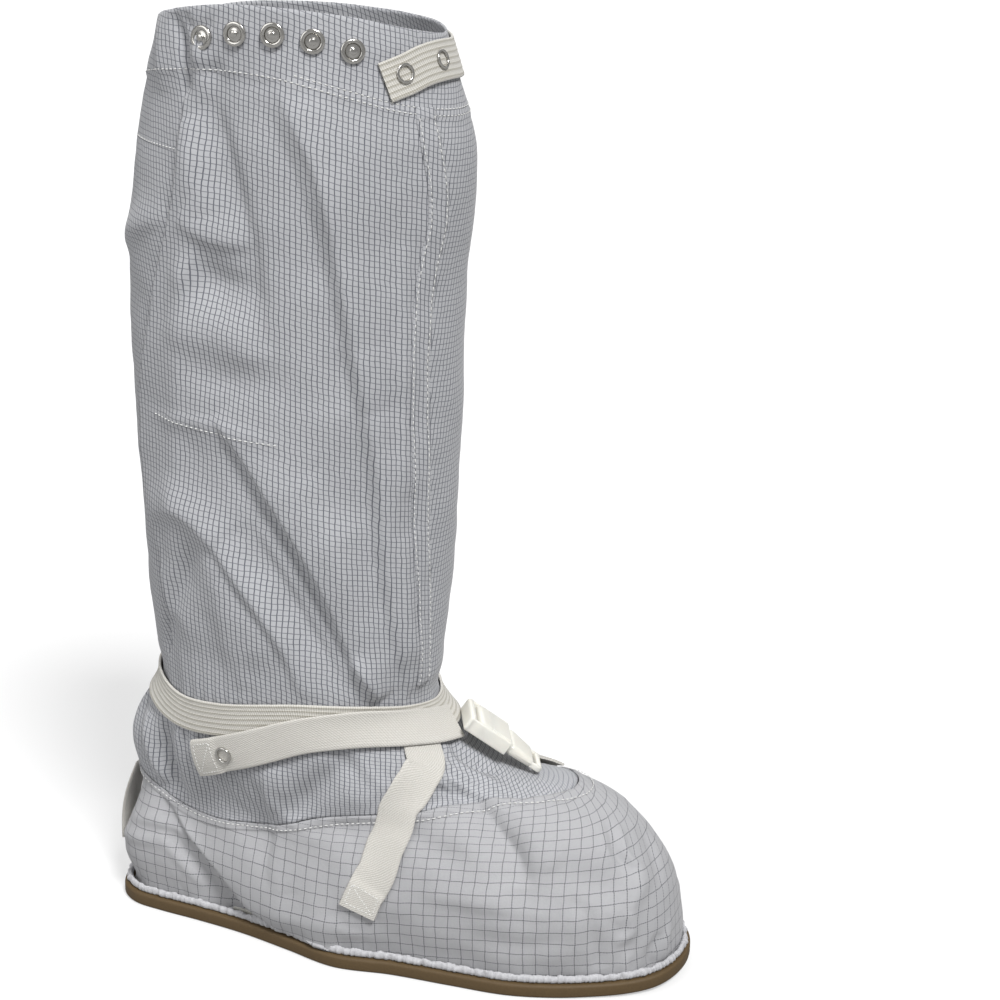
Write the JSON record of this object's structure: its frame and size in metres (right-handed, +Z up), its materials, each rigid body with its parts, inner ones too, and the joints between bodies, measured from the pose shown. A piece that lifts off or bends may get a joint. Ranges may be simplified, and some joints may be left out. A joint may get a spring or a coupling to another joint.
{
  "type": "cleanroom boot",
  "caption": "Tall cloth cleanroom boot for the right foot, with a flat ribbed sole, an ankle elastic, instep straps with a side-release buckle and snaps at the collar.",
  "frame": {"origin": "on the outsole's ground face, under the axis of the shaft", "axes": "+X towards the toe, +Y towards the inner side of the foot, +Z up"},
  "size_m": [0.3038, 0.124, 0.4706],
  "materials": {
    "sole_rubber": "brown moulded sheet, ribbed underneath",
    "insole_board": "off-white board",
    "binding_cloth": "gathered white cloth edge",
    "coarse_check_cloth": "white woven cloth with a coarse black check",
    "fine_check_cloth": "white woven cloth with a fine grey check",
    "ribbed_elastic": "white ribbed elastic",
    "webbing": "white woven webbing",
    "snap_metal": "nickel-plated snap",
    "buckle_plastic": "white moulded plastic, slightly glossy"
  },
  "bodies": {
    "root": {"outsole": "sole_rubber", "insole": "insole_board", "seam_binding": "binding_cloth", "foot_upper": "coarse_check_cloth", "shaft": "fine_check_cloth", "front_placket": "fine_check_cloth", "ankle_strap": "ribbed_elastic", "snap_strap": "webbing", "instep_strap_outer": "webbing", "instep_strap_inner": "webbing", "heel_loop": "webbing", "collar_tab": "ribbed_elastic", "collar_stud_1": "snap_metal", "collar_stud_2": "snap_metal", "collar_stud_3": "snap_metal", "collar_stud_4": "snap_metal", "collar_stud_5": "snap_metal", "tab_ring_1": "snap_metal", "tab_ring_2": "snap_metal", "strap_ring": "snap_metal", "buckle_socket": "buckle_plastic", "buckle_plug": "buckle_plastic"}
  },
  "joints": []
}
